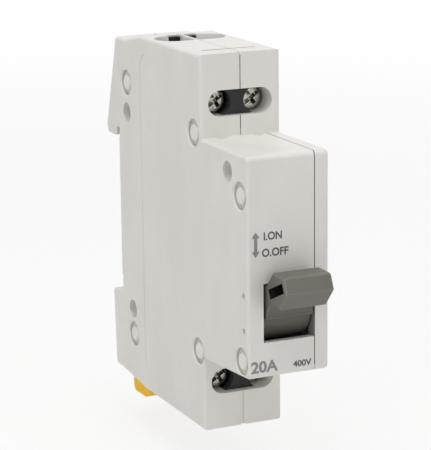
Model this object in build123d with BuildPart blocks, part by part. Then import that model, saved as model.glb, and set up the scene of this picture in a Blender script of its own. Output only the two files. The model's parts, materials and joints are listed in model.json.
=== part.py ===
"""A two-pole DIN rail switch disconnector, one module wide, in millimetres.

Seen from the front, +X is right, +Z is up and the front faces -Y. The origin is the middle of the
face that seats on the rail, and the switch is modelled switched on, with its lever up.
"""

import os
from math import cos, radians, sin

from build123d import *

os.makedirs("parts", exist_ok=True)

# Housing, seen from the side
module_width = 18.0
body_height = 79.2
nose_height = 45.0
shoulder_depth = 44.0
nose_depth = 65.5
nose_bottom_drop = 1.4
back_top_drop = 1.6
back_top_y = 0.85
foot_depth = 5.3
foot_taper = 0.8
foot_bottom_rise = 1.3
wall = 1.4
edge_round = 0.7
corner_round = 1.0
nose_seam_x = 5.8
seam_groove = 0.2
seam_notch = 0.9
seam_channel = 0.5

# Rail and how the housing grips it
rail_height = 35.0
rail_thickness = 1.0
rail_clearance = 0.3
hook_bite = 1.7
hook_depth = 7.0
lip_chamfer = 0.7
seat_relief = 0.4
foot_step_gap = 2.7

# Rail clip
clip_width = 9.2
clip_thickness = 2.4
clip_bite = 1.3
clip_travel = 4.5
clip_clearance = 0.12
clip_tab_height = 4.6
clip_tab_drop = 5.8
clip_tab_front = 5.4
clip_stop_height = 3.5
clip_stop_width = 3.0
clip_stop_drop = 9.0
clip_pry_slot = 1.8
clip_chamfer = 0.6

# Lever
pivot_depth = 7.8
pivot_z = -9.25
lever_tilt = 24.2
lever_side_gap = 0.5
lever_seam_gap = 0.3
drum_seam_gap = 0.5
drum_radius = 7.2
skirt_radius = 8.1
skirt_angle = 33.6
waist_out = 9.5
waist_half = 1.95
widest_out = 13.3
widest_half = 3.8
tip_out = 17.8
tip_half = 1.75
tie_slot_from = 10.3
tie_slot_to = 16.8
tie_slot_height = 2.0
lever_chamfer = 0.35
lever_round = 0.5
flare_hollow = 0.35
trunnion_radius = 2.0
trunnion_end_gap = 0.3
trunnion_clearance = 0.06
trunnion_boss_radius = 3.4
crank_radius = 4.7
crank_pin_radius = 1.0
crank_gap = 3.2
hub_radius = 2.2
crank_gap_front = 3.9

# Lever window
window_left = -5.5
window_height = 12.1
cheek_depth = 1.3

# Poles, screws and the black terminal carriers
pole_offset = 0.3
screw_inset_share = 0.59649123
slot_end_gap = 0.4
slot_height = 5.4
slot_collar = 1.1
screw_head_radius = 2.35
screw_head_height = 2.0
screw_head_depth = 3.8
screw_radius = 1.7
screw_slot_width = 0.8
screw_slot_depth = 0.9
screw_slot_turn = 35.0
screw_cross_length = 3.4
bore_clearance = 0.3
ledge_thickness = 1.2
plug_depth = 1.5
plug_clearance = 0.15
trough_radius = 3.0
trough_depth = 0.45
trough_length = 6.0
trough_taper = 4.5
partition_thickness = 0.8

# Clamp cages
cage_wall_gap = 0.2
cage_height = 6.8
cage_side = 0.85
cage_lead = 2.2
cage_front_thickness = 1.7
cage_reach = 10.2
cage_back_thickness = 1.3
thread_clearance = 0.05

# Wire entries
entry_end_gap = 0.3
entry_width = 8.2
entry_setback = 6.1
entry_rib = 0.9
entry_taper = 12.0
groove_setback = 5.5
groove_length = 12.0
groove_width = 1.1
groove_depth = 0.5
entry_tab_width = 6.4
entry_tab_thickness = 1.0
entry_tab_drop = 0.3
entry_tab_share = 0.30188679
entry_margin = 3.2

# Fixed contacts
bar_side_gap = 0.15
bar_thickness = 1.2
bar_share = 0.57727273
bar_inner_z = 5.8
bar_overrun_share = 0.59090909
bar_groove_pitch = 1.6
bar_groove_width = 0.6
bar_groove_depth = 0.25
tip_radius = 1.6
tip_height = 0.8
contact_z = 8.4
contact_gap = 0.1
fit_clearance = 0.1

# Contact bridges and the sliding carrier that holds them
bridge_length = 21.6
bridge_width = 4.0
bridge_thickness = 1.0
bridge_window_gap = 0.3
moving_tip_height = 0.6
overtravel = 0.8
carrier_side_gap = 0.3
carrier_height = 8.0
carrier_back_wall = 1.6
carrier_setback = 10.7
guide_clearance = 0.25
guide_thickness = 1.2
guide_depth = 2.4
guide_lead = 3.4
guide_end_gap = 2.2
spring_length = 9.2
spring_radius = 1.5
spring_wire = 0.5
spring_turns = 4
spring_peg_length = 1.4
tongue_width = 2.6
tongue_prong = 1.4
tongue_slot_clearance = 0.15
tongue_rise = 1.4

# Lever spring
lever_spring_wire = 0.6
lever_spring_turns = 2
lever_spring_radius = 3.9
lever_spring_hook = 0.9
lever_spring_anchor = 0.5

# Staking pins that hold the two shells together, and the recesses of their heads
pin_radius = 1.3
pin_head_radius = 1.8
pin_head_height = 0.55
pin_recess_radius = 2.75
pin_recess_depth = 0.7
pin_rim = 0.35
pin_boss_radius = 2.6

# How far in the pins stand from the housing's edges, its shoulder and its nose
upper_back_pin_y = -4.4
upper_back_pin_drop = 11.1
upper_shoulder_pin_set = 3.8
upper_shoulder_pin_drop = 6.2
upper_nose_pin_set = 3.5
upper_nose_pin_drop = 8.3
lower_nose_pin_set = 3.2
lower_nose_pin_rise = 3.0
lower_shoulder_pin_set = 2.7
lower_shoulder_pin_rise = 6.5
lower_back_pin_y = -6.0
lower_back_pin_rise = 11.2

# Blind sockets, dimples and the shallow pad in the left side
upper_socket_y = -4.8
upper_socket_drop = 17.6
nose_socket_set = 8.7
nose_socket_drop = 4.3
lower_socket_y = -6.0
lower_socket_rise = 17.0
socket_radius = 2.1
socket_depth = 2.4
socket_wall = 0.9
dimple_inset = 1.8
dimple_spread = 7.2
dimple_radius = 0.6
dimple_depth = 0.6
pad_y = -20.5
pad_width = 16.0
pad_end_gap = 3.7
pad_chamfer = 2.0
pad_depth = 0.1

# Values that follow from the ones above
half_width = module_width / 2
half_height = body_height / 2
half_nose = nose_height / 2
half_rail = rail_height / 2
inner_x = half_width - wall
shoulder_y = -shoulder_depth
nose_y = -nose_depth
back_top_height = half_height - back_top_drop
foot_bottom = half_height - foot_bottom_rise
hollow_front_y = shoulder_y + wall
hollow_back_y = -seat_relief - wall
barrier_z = half_nose - wall / 2
lip_front_y = rail_thickness + rail_clearance
groove_top_z = half_rail + rail_clearance
lip_bottom_z = half_rail - hook_bite
seat_top_z = lip_bottom_z - rail_clearance / 2
foot_top_z = -half_rail - foot_step_gap

clip_top_z = -half_rail + clip_bite
seat_bottom_z = clip_top_z + rail_clearance
channel_front_y = lip_front_y - clip_clearance
channel_back_y = lip_front_y + clip_thickness + clip_clearance
clip_stop_z = foot_top_z - clip_stop_drop - clip_stop_height / 2
clip_tab_bottom = half_height + clip_tab_drop

window_right = nose_seam_x
lever_left = window_left + lever_side_gap
lever_right = window_right - lever_seam_gap
drum_right = window_right - drum_seam_gap
trunnion_length = 2 * (inner_x - trunnion_end_gap)
pivot_y = nose_y + pivot_depth
tilt = radians(lever_tilt)
throw = 2 * crank_radius * sin(tilt)
crank_y = pivot_y + crank_radius * sin(tilt)
crank_top_z = pivot_z + crank_radius + crank_pin_radius
crank_low_z = pivot_z + crank_radius * cos(tilt) - crank_pin_radius

pole_x = inner_x / 2 + pole_offset
screw_z = half_height - screw_inset_share * (half_height - half_nose)
slot_length = 2 * (inner_x - slot_end_gap)
screw_head_y = shoulder_y + screw_head_depth
ledge_y = screw_head_y + screw_head_height + thread_clearance
plug_front_y = shoulder_y + plug_depth
carrier_plate_width = 2 * (inner_x - plug_clearance)
partition_low_z = half_nose + fit_clearance
partition_high_z = half_height - wall - fit_clearance
partition_height = partition_high_z - partition_low_z
partition_z = (partition_high_z + partition_low_z) / 2

bar_front_y = shoulder_y * bar_share
bar_outer_z = screw_z + bar_overrun_share * (half_height - wall - screw_z)
screw_end_y = bar_front_y - rail_clearance
cage_front_y = bar_front_y - cage_lead
cage_back_y = bar_front_y + cage_reach
cage_width = 2 * (inner_x - cage_wall_gap - pole_x)
cage_high_z = screw_z + cage_height / 2
bar_width = cage_width - 2 * (cage_side + bar_side_gap)
entry_length = 2 * (inner_x + entry_end_gap)
entry_y = bar_front_y + entry_setback
entry_back_y = entry_y + entry_width / 2
top_flat_end = -entry_back_y - entry_margin
partition_back_y = -top_flat_end - fit_clearance
groove_y = shoulder_y + groove_setback

bridge_back_y = bar_front_y - tip_height - contact_gap - moving_tip_height
bridge_front_y = bridge_back_y - bridge_thickness
spring_front_y = bridge_front_y - spring_length
carrier_width = 2 * (inner_x - carrier_side_gap)
carrier_rest_y = bridge_back_y + overtravel
carrier_back_y = carrier_rest_y + carrier_back_wall
carrier_front_y = pivot_y + carrier_setback
guide_front_y = carrier_front_y - guide_lead
guide_back_y = bridge_front_y - throw - guide_end_gap

# Pins and sockets across the module as (y, z), each set in from the nearest edges of the housing
pin_places = [
    (upper_back_pin_y, half_height - upper_back_pin_drop),
    (shoulder_y + upper_shoulder_pin_set, screw_z - upper_shoulder_pin_drop),
    (nose_y + upper_nose_pin_set, half_nose - upper_nose_pin_drop),
    (nose_y + lower_nose_pin_set, lower_nose_pin_rise - half_nose),
    (shoulder_y + lower_shoulder_pin_set, lower_shoulder_pin_rise - screw_z),
    (lower_back_pin_y, lower_back_pin_rise - half_height),
]
socket_places = [
    (upper_socket_y, half_height - upper_socket_drop),
    (nose_y + nose_socket_set, half_nose - nose_socket_drop),
    (lower_socket_y, lower_socket_rise - half_height),
]
dimple_places = [
    (nose_y + dimple_inset, pivot_z + dimple_spread / 2),
    (nose_y + dimple_inset, pivot_z - dimple_spread / 2),
]
pad_height = body_height - 2 * pad_end_gap
sides = {"left": -1, "right": 1}
levels = {"upper": 1, "lower": -1}


def side_plane(x):
    """The plane across the module at x, with local x along +Y and local y along +Z."""
    return Plane.YZ.offset(x)


def front_plane(y):
    """The plane facing the front at y, with local x along +X and local y along +Z."""
    return Plane(origin=(0, y, 0), x_dir=(1, 0, 0), z_dir=(0, -1, 0))


def lever_plane(x):
    """The plane across the lever at x, with local x out along the grip and local y down."""
    return Plane(origin=(x, pivot_y, pivot_z), x_dir=(0, -cos(tilt), sin(tilt)), z_dir=(1, 0, 0))


# The housing behind its shoulder, without the hook's lip, the seat land and the foot
lip_slant = (hook_depth - back_top_y) / (back_top_height - half_rail)
ceiling_y = back_top_y + lip_slant * (back_top_height - groove_top_z)
with BuildSketch() as body_outline:
    with BuildLine():
        Polyline(
            (shoulder_y, half_height),
            (-top_flat_end, half_height),
            (-top_flat_end / 3, back_top_height),
            (back_top_y, back_top_height),
            (ceiling_y, groove_top_z),
            (-seat_relief, groove_top_z),
            (-seat_relief, foot_top_z),
            (channel_front_y, foot_top_z),
            (channel_front_y, -foot_bottom),
            (-top_flat_end, -half_height),
            (shoulder_y, -half_height),
            close=True,
        )
    make_face()

# The raised front of the housing, whose underside slopes a little
with BuildSketch() as nose_outline:
    with BuildLine():
        Polyline(
            (shoulder_y, half_nose),
            (nose_y, half_nose),
            (nose_y, -half_nose),
            (shoulder_y, -half_nose - nose_bottom_drop),
            close=True,
        )
    make_face()
    fillet(nose_outline.vertices().group_by(Axis.X)[0], corner_round)

# What lies against and behind the rail: the hook's lip, the seat land and the foot
with BuildSketch() as grip_outline:
    with BuildLine():
        Polyline(
            (lip_front_y, groove_top_z),
            (lip_front_y, lip_bottom_z + lip_chamfer),
            (lip_front_y + lip_chamfer, lip_bottom_z),
            (hook_depth - lip_chamfer, lip_bottom_z),
            (hook_depth, half_rail),
            (ceiling_y, groove_top_z),
            close=True,
        )
    make_face()
    with BuildLine():
        Polyline(
            (-seat_relief, seat_top_z),
            (0, seat_top_z),
            (0, seat_bottom_z),
            (-seat_relief, seat_bottom_z),
            close=True,
        )
    make_face()
    with BuildLine():
        Polyline(
            (channel_front_y, foot_top_z),
            (foot_depth - edge_round, foot_top_z),
            (foot_depth, foot_top_z - edge_round),
            (foot_depth - foot_taper, -foot_bottom + corner_round),
            (foot_depth - foot_taper - corner_round, -foot_bottom),
            (channel_front_y, -foot_bottom),
            close=True,
        )
    make_face()

# The whole outline, and the hollow that the shells leave inside it
with BuildSketch() as housing_outline:
    add(body_outline.sketch)
    add(nose_outline.sketch)
    add(grip_outline.sketch)
with BuildSketch() as hollow_outline:
    add(body_outline.sketch)
    add(nose_outline.sketch)
    offset(amount=-wall, kind=Kind.INTERSECTION, mode=Mode.REPLACE)
with BuildSketch() as body_side_outline:
    add(body_outline.sketch)
    add(grip_outline.sketch)

# The fine groove that follows each seam round the outside, clear of the rail and of the nose's root
with BuildSketch() as inner_body_line:
    add(body_side_outline.sketch)
    offset(amount=-seam_groove, kind=Kind.INTERSECTION, mode=Mode.REPLACE)
with BuildSketch() as body_seam_ring:
    add(body_side_outline.sketch)
    add(inner_body_line.sketch, mode=Mode.SUBTRACT)
    with Locations((shoulder_y, 0)):
        Rectangle(4 * wall, nose_height + 2 * nose_bottom_drop, mode=Mode.SUBTRACT)
    with Locations((0, (groove_top_z + foot_top_z) / 2)):
        Rectangle(4 * hook_depth, groove_top_z - foot_top_z + 2 * wall, mode=Mode.SUBTRACT)
with BuildSketch() as inner_nose_line:
    add(nose_outline.sketch)
    offset(amount=-seam_groove, kind=Kind.INTERSECTION, mode=Mode.REPLACE)
with BuildSketch() as nose_seam_ring:
    add(nose_outline.sketch)
    add(inner_nose_line.sketch, mode=Mode.SUBTRACT)
    with Locations((shoulder_y, 0)):
        Rectangle(wall, body_height, mode=Mode.SUBTRACT)


def make_shell(side):
    """One moulded half of the housing, open at the seam, with its bosses, ribs and seats."""
    is_left = side < 0
    seam_x = nose_seam_x if is_left else 0
    with BuildPart() as shell:
        # The outer form: one full side, and the part of the width up to its own seam
        with BuildSketch(side_plane(side * half_width)):
            add(housing_outline.sketch)
        extrude(amount=-side * (half_width - (0 if is_left else nose_seam_x)))
        with BuildSketch(side_plane(0)):
            add(nose_outline.sketch if is_left else body_side_outline.sketch)
        extrude(amount=nose_seam_x)
        outer = shell.faces().sort_by(Axis.X)[0 if is_left else -1]
        rim = outer.edges().filter_by(lambda edge: edge.length > 2 * wall)
        fillet(rim.filter_by(lambda edge: edge.center().Y < back_top_y - wall), edge_round)

        # The hollow
        with BuildSketch(side_plane(side * inner_x)):
            add(hollow_outline.sketch)
        extrude(amount=-side * inner_x + (nose_seam_x if is_left else 0), mode=Mode.SUBTRACT)

        # Walls that part the terminals from the contact chamber, notched for the fixed contacts
        for level in levels.values():
            with BuildSketch(Plane.XY.offset(level * barrier_z - wall / 2)):
                with Locations(((inner_x * side) / 2, (hollow_front_y + hollow_back_y) / 2)):
                    Rectangle(inner_x, hollow_back_y - hollow_front_y)
                with Locations((side * pole_x, bar_front_y + bar_thickness / 2)):
                    Rectangle(
                        bar_width + 2 * fit_clearance,
                        bar_thickness + 2 * fit_clearance,
                        mode=Mode.SUBTRACT,
                    )
            extrude(amount=wall)

        # Collars behind the screw slots
        with BuildSketch(front_plane(hollow_front_y)):
            with Locations((0, screw_z), (0, -screw_z)):
                SlotOverall(slot_length + 2 * slot_collar, slot_height + 2 * slot_collar)
        extrude(amount=hollow_front_y - ledge_y)

        # Bosses for the staking pins
        with BuildSketch(side_plane(side * inner_x)):
            with Locations(*[place for place in pin_places if place[0] > shoulder_y]):
                Circle(pin_boss_radius)
        extrude(amount=-side * inner_x)
        with BuildSketch(side_plane(side * inner_x)):
            with Locations(*[place for place in pin_places if place[0] < shoulder_y]):
                Circle(pin_boss_radius)
        extrude(amount=seam_x - side * inner_x if is_left else nose_seam_x - inner_x)

        # Boss that carries the lever's trunnion
        with BuildSketch(side_plane(side * inner_x)):
            with Locations((pivot_y, pivot_z)):
                Circle(trunnion_boss_radius)
        boss_end = lever_left - fit_clearance if is_left else drum_right + fit_clearance
        extrude(amount=boss_end - side * inner_x)

        # Guides for the contact carrier
        guide_z = carrier_height / 2 + guide_clearance + guide_thickness / 2
        with BuildSketch(side_plane(side * inner_x)):
            with Locations(
                ((guide_front_y + guide_back_y) / 2, guide_z),
                ((guide_front_y + guide_back_y) / 2, -guide_z),
            ):
                Rectangle(guide_back_y - guide_front_y, guide_thickness)
        extrude(amount=-side * guide_depth)

        if is_left:
            # Cups behind the blind sockets
            with BuildSketch(side_plane(-inner_x)):
                with Locations(*socket_places):
                    Circle(socket_radius + socket_wall)
            extrude(amount=socket_depth + socket_wall - wall)
        else:
            # Cheek beside the lever window
            with BuildSketch(side_plane(inner_x)):
                with Locations((nose_y + (wall + cheek_depth) / 2, pivot_z)):
                    Rectangle(wall + cheek_depth, window_height + 2 * wall)
            extrude(amount=nose_seam_x - inner_x)

        # Everything beyond this half's own seam is cut away again
        with BuildSketch(side_plane(0)):
            add(body_side_outline.sketch)
        extrude(amount=-side * half_width, mode=Mode.SUBTRACT)

        # Screw slots in the shoulder
        with BuildSketch(front_plane(shoulder_y - wall)):
            with Locations((0, screw_z), (0, -screw_z)):
                SlotOverall(slot_length, slot_height)
        extrude(amount=shoulder_y - wall - ledge_y, mode=Mode.SUBTRACT)

        # Wire entries, one to each pole, with flared mouths, and a shallow groove before them
        for level in levels.values():
            with BuildSketch(Plane.XY.offset(level * half_height)):
                with Locations((0, entry_y)):
                    SlotOverall(entry_length, entry_width)
                    Rectangle(entry_rib, entry_width, mode=Mode.SUBTRACT)
            extrude(amount=-level * wall, taper=entry_taper, mode=Mode.SUBTRACT)
            with BuildSketch(Plane.XY.offset(level * half_height)):
                with Locations((0, entry_back_y)):
                    Rectangle(
                        entry_tab_width + 2 * fit_clearance,
                        2 * (entry_tab_thickness + fit_clearance),
                    )
                    Rectangle(entry_rib, entry_width, mode=Mode.SUBTRACT)
            extrude(amount=-level * wall, mode=Mode.SUBTRACT)
            with BuildSketch(Plane.XY.offset(level * half_height)):
                with Locations((0, groove_y)):
                    Rectangle(groove_length, groove_width)
            extrude(amount=-level * groove_depth, mode=Mode.SUBTRACT)

        # Pin holes and the round recesses that their heads lie in
        with BuildSketch(side_plane(side * half_width)):
            with Locations(*pin_places):
                Circle(pin_recess_radius)
        extrude(amount=-side * pin_recess_depth, mode=Mode.SUBTRACT)
        with BuildSketch(side_plane(side * half_width)):
            with Locations(*pin_places):
                Circle(pin_recess_radius + pin_rim)
        extrude(amount=-side * pin_rim, taper=45, mode=Mode.SUBTRACT)
        with BuildSketch(side_plane(side * half_width)):
            with Locations(*pin_places):
                Circle(pin_radius + fit_clearance / 2)
        extrude(amount=-side * (half_width + nose_seam_x), mode=Mode.SUBTRACT)

        # Trunnion bearing
        with BuildSketch(side_plane(side * (trunnion_length / 2 + fit_clearance))):
            with Locations((pivot_y, pivot_z)):
                Circle(trunnion_radius + trunnion_clearance)
        extrude(amount=-side * inner_x, mode=Mode.SUBTRACT)
        if not is_left:
            # Blind hole that anchors the lever spring
            with BuildSketch(lever_plane(inner_x)):
                with Locations((lever_spring_radius, 0)):
                    Circle(lever_spring_wire / 2 + fit_clearance)
            extrude(amount=lever_spring_anchor + fit_clearance, mode=Mode.SUBTRACT)

        # Channel for the rail clip, with the stop that its window runs over
        with BuildSketch(Plane.XY.offset(foot_top_z)):
            with Locations((0, (channel_front_y + channel_back_y) / 2)):
                Rectangle(clip_width + 2 * clip_clearance, channel_back_y - channel_front_y)
        extrude(amount=-(foot_bottom + foot_top_z), mode=Mode.SUBTRACT)
        with BuildSketch(front_plane(channel_back_y)):
            with Locations((side * clip_stop_width / 4, clip_stop_z)):
                Rectangle(clip_stop_width / 2, clip_stop_height)
        extrude(amount=channel_back_y - channel_front_y)

        # The seam's groove, a small notch at each end of the shoulder, and a wider channel below
        with BuildSketch(side_plane(0)):
            add(body_seam_ring.sketch)
        extrude(amount=side * seam_groove / 2, mode=Mode.SUBTRACT)
        with BuildSketch(side_plane(nose_seam_x)):
            add(nose_seam_ring.sketch)
        extrude(amount=side * seam_groove / 2, mode=Mode.SUBTRACT)
        for level in levels.values():
            with BuildSketch(front_plane(shoulder_y)):
                with Locations((0, level * half_height)):
                    Rectangle(seam_notch, seam_notch, rotation=45)
            extrude(amount=-seam_channel, mode=Mode.SUBTRACT)
        with BuildSketch(front_plane(shoulder_y)):
            with Locations((0, -(screw_z + half_height) / 2)):
                Rectangle(seam_channel, half_height - screw_z)
        extrude(amount=-seam_groove, mode=Mode.SUBTRACT)

        if is_left:
            # Troughs that let a screwdriver past, on top of the nose and beneath it
            for level, root_z in ((1, half_nose), (-1, half_nose + nose_bottom_drop)):
                trough_z = level * (root_z + trough_radius - trough_depth)
                with BuildSketch(front_plane(shoulder_y)):
                    with Locations((-pole_x, trough_z), (pole_x, trough_z)):
                        Circle(trough_radius)
                extrude(amount=trough_length, taper=trough_taper, mode=Mode.SUBTRACT)

            # Lever window, sockets, dimples and the shallow pad on the side
            with BuildSketch(front_plane(nose_y)):
                with Locations(((window_left + window_right) / 2, pivot_z)):
                    Rectangle(window_right - window_left, window_height)
            extrude(amount=-wall, mode=Mode.SUBTRACT)
            with BuildSketch(side_plane(-half_width)):
                with Locations(*socket_places):
                    Circle(socket_radius)
            extrude(amount=socket_depth, mode=Mode.SUBTRACT)
            with BuildSketch(side_plane(-half_width)):
                with Locations(*dimple_places):
                    Circle(dimple_radius)
            extrude(amount=dimple_depth, mode=Mode.SUBTRACT)
            with BuildSketch(side_plane(-half_width)) as pad:
                with Locations((pad_y, 0)):
                    Rectangle(pad_width, pad_height)
                chamfer(pad.vertices(), pad_chamfer)
            extrude(amount=pad_depth, mode=Mode.SUBTRACT)
    return shell.part


for side_name, side in sides.items():
    shell = make_shell(side)
    shell.label = f"{side_name}_shell"
    export_step(shell, f"parts/{shell.label}.step")


# Six pins staked through both shells, with a low domed head at each end
with BuildPart() as staking_pins:
    floor_x = half_width - pin_recess_depth
    with BuildSketch(side_plane(-floor_x)):
        with Locations(*pin_places):
            Circle(pin_radius)
    extrude(amount=2 * floor_x)
    for side in sides.values():
        with BuildSketch(side_plane(side * floor_x)):
            with Locations(*pin_places):
                Circle(pin_head_radius)
        extrude(amount=side * pin_head_height)
        ends = staking_pins.faces().filter_by(Plane.YZ).group_by(Axis.X)[0 if side < 0 else -1]
        chamfer(ends.edges(), pin_head_height * 0.6)
staking_pins.part.label = "staking_pins"
export_step(staking_pins.part, "parts/staking_pins.step")


# The black carrier of each terminal pair: a plug with two screw bores, a ledge and a partition
for level_name, level in levels.items():
    with BuildPart() as terminal_carrier:
        with BuildSketch(front_plane(ledge_y)):
            with Locations((0, level * screw_z)):
                Rectangle(carrier_plate_width, cage_height)
        extrude(amount=-ledge_thickness)
        with BuildSketch(front_plane(ledge_y)):
            with Locations((0, level * screw_z)):
                Rectangle(2 * pole_x, slot_height - 2 * plug_clearance)
        extrude(amount=ledge_y - plug_front_y)
        with BuildSketch(front_plane(ledge_y)):
            with Locations((-pole_x, level * screw_z), (pole_x, level * screw_z)):
                Circle(screw_head_radius + bore_clearance)
        extrude(amount=ledge_y - plug_front_y, mode=Mode.SUBTRACT)
        with BuildSketch(front_plane(ledge_y)):
            with Locations((-pole_x, level * screw_z), (pole_x, level * screw_z)):
                Circle(screw_radius + bore_clearance / 2)
        extrude(amount=-ledge_thickness, mode=Mode.SUBTRACT)
        with BuildSketch(side_plane(-partition_thickness / 2)):
            with Locations(((ledge_y + partition_back_y) / 2, level * partition_z)):
                Rectangle(partition_back_y - ledge_y, partition_height)
            with Locations(*pin_places):
                Circle(pin_boss_radius + fit_clearance, mode=Mode.SUBTRACT)
        extrude(amount=partition_thickness)
        # The tab that closes the back of the wire entries, slotted for the rib between them
        with BuildSketch(front_plane(entry_back_y + entry_tab_thickness)):
            tab_top_z = half_height - entry_tab_drop
            tab_low_z = partition_high_z - entry_tab_share * (partition_high_z - cage_high_z)
            with Locations((0, level * (tab_top_z + tab_low_z) / 2)):
                Rectangle(entry_tab_width, tab_top_z - tab_low_z)
            with Locations((0, level * (tab_top_z + partition_high_z) / 2)):
                Rectangle(
                    entry_rib + 2 * fit_clearance, tab_top_z - partition_high_z, mode=Mode.SUBTRACT
                )
        extrude(amount=entry_tab_thickness - fit_clearance / 2)
    terminal_carrier.part.label = f"{level_name}_terminal_carrier"
    export_step(terminal_carrier.part, f"parts/{terminal_carrier.part.label}.step")


# Terminal screws with combination heads, and the clamp cages that they draw forward
for level_name, level in levels.items():
    for side_name, side in sides.items():
        centre = (side * pole_x, level * screw_z)
        with BuildPart() as terminal_screw:
            with BuildSketch(front_plane(screw_head_y + screw_head_height)):
                with Locations(centre):
                    Circle(screw_head_radius)
            extrude(amount=screw_head_height)
            face = terminal_screw.faces().sort_by(Axis.Y)[0]
            chamfer(face.edges(), screw_slot_width / 3)
            with BuildSketch(front_plane(screw_head_y)):
                with Locations(centre):
                    Rectangle(2 * screw_head_radius, screw_slot_width, rotation=screw_slot_turn)
                    Rectangle(
                        screw_cross_length, screw_slot_width, rotation=screw_slot_turn + 90
                    )
            extrude(amount=-screw_slot_depth, mode=Mode.SUBTRACT)
            with BuildSketch(front_plane(screw_head_y + screw_head_height)):
                with Locations(centre):
                    Circle(screw_radius)
            extrude(amount=screw_head_y + screw_head_height - screw_end_y)
        terminal_screw.part.label = f"terminal_screw_{level_name}_{side_name}"
        export_step(terminal_screw.part, f"parts/{terminal_screw.part.label}.step")

        cage_length = cage_back_y + cage_back_thickness - cage_front_y
        with BuildPart() as clamp_cage:
            with BuildSketch(Plane.XY.offset(level * screw_z - cage_height / 2)) as band:
                with Locations((side * pole_x, cage_front_y + cage_length / 2)):
                    Rectangle(cage_width, cage_length)
                fillet(band.vertices(), cage_side / 2)
                window_front_y = cage_front_y + cage_front_thickness
                with Locations((side * pole_x, (window_front_y + cage_back_y) / 2)):
                    Rectangle(
                        cage_width - 2 * cage_side, cage_back_y - window_front_y, mode=Mode.SUBTRACT
                    )
            extrude(amount=cage_height)
            with BuildSketch(front_plane(cage_front_y)):
                with Locations(centre):
                    Circle(screw_radius + thread_clearance)
            extrude(amount=-cage_front_thickness, mode=Mode.SUBTRACT)
        clamp_cage.part.label = f"clamp_cage_{level_name}_{side_name}"
        export_step(clamp_cage.part, f"parts/{clamp_cage.part.label}.step")


# Fixed contacts, each a flat bar from its terminal to the contact chamber, and their silver tips
for level_name, level in levels.items():
    for side_name, side in sides.items():
        with BuildPart() as fixed_contact:
            with BuildSketch(front_plane(bar_front_y)) as strip:
                with Locations((side * pole_x, level * (bar_inner_z + bar_outer_z) / 2)):
                    Rectangle(bar_width, bar_outer_z - bar_inner_z)
                fillet(strip.vertices(), bar_thickness / 2)
            extrude(amount=-bar_thickness)
            with BuildSketch(front_plane(bar_front_y + bar_thickness)):
                for groove in range(3):
                    with Locations((side * pole_x, level * (screw_z + (groove - 1) * bar_groove_pitch))):
                        Rectangle(bar_width, bar_groove_width)
            extrude(amount=bar_groove_depth, mode=Mode.SUBTRACT)
        fixed_contact.part.label = f"fixed_contact_{level_name}_{side_name}"
        export_step(fixed_contact.part, f"parts/{fixed_contact.part.label}.step")

tip_centres = [(side * pole_x, level * contact_z) for side in sides.values() for level in levels.values()]
with BuildPart() as fixed_tips:
    with BuildSketch(front_plane(bar_front_y)):
        with Locations(*tip_centres):
            Circle(tip_radius)
    extrude(amount=tip_height)
fixed_tips.part.label = "fixed_contact_tips"
export_step(fixed_tips.part, "parts/fixed_contact_tips.step")


# Contact bridges with their tips and springs
for side_name, side in sides.items():
    with BuildPart() as contact_bridge:
        with BuildSketch(front_plane(bridge_back_y)) as strip:
            with Locations((side * pole_x, 0)):
                Rectangle(bridge_width, bridge_length)
            fillet(strip.vertices(), bridge_thickness)
        extrude(amount=bridge_thickness)
    contact_bridge.part.label = f"contact_bridge_{side_name}"
    export_step(contact_bridge.part, f"parts/{contact_bridge.part.label}.step")

    with BuildPart() as bridge_tips:
        with BuildSketch(front_plane(bridge_back_y + moving_tip_height)):
            with Locations((side * pole_x, contact_z), (side * pole_x, -contact_z)):
                Circle(tip_radius - fit_clearance)
        extrude(amount=moving_tip_height)
    bridge_tips.part.label = f"bridge_tips_{side_name}"
    export_step(bridge_tips.part, f"parts/{bridge_tips.part.label}.step")

    coil_length = spring_length - spring_wire - 2 * fit_clearance
    coil_start = (side * pole_x, spring_front_y + fit_clearance + spring_wire / 2, 0)
    with BuildPart() as contact_spring:
        with BuildLine():
            coil = Helix(
                pitch=coil_length / spring_turns,
                height=coil_length,
                radius=spring_radius,
                center=coil_start,
                direction=(0, 1, 0),
            )
        with BuildSketch(Plane(origin=coil @ 0, z_dir=coil % 0)):
            RegularPolygon(spring_wire / 2, 6)
        sweep(is_frenet=True)
    contact_spring.part.label = f"contact_spring_{side_name}"
    export_step(contact_spring.part, f"parts/{contact_spring.part.label}.step")


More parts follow.
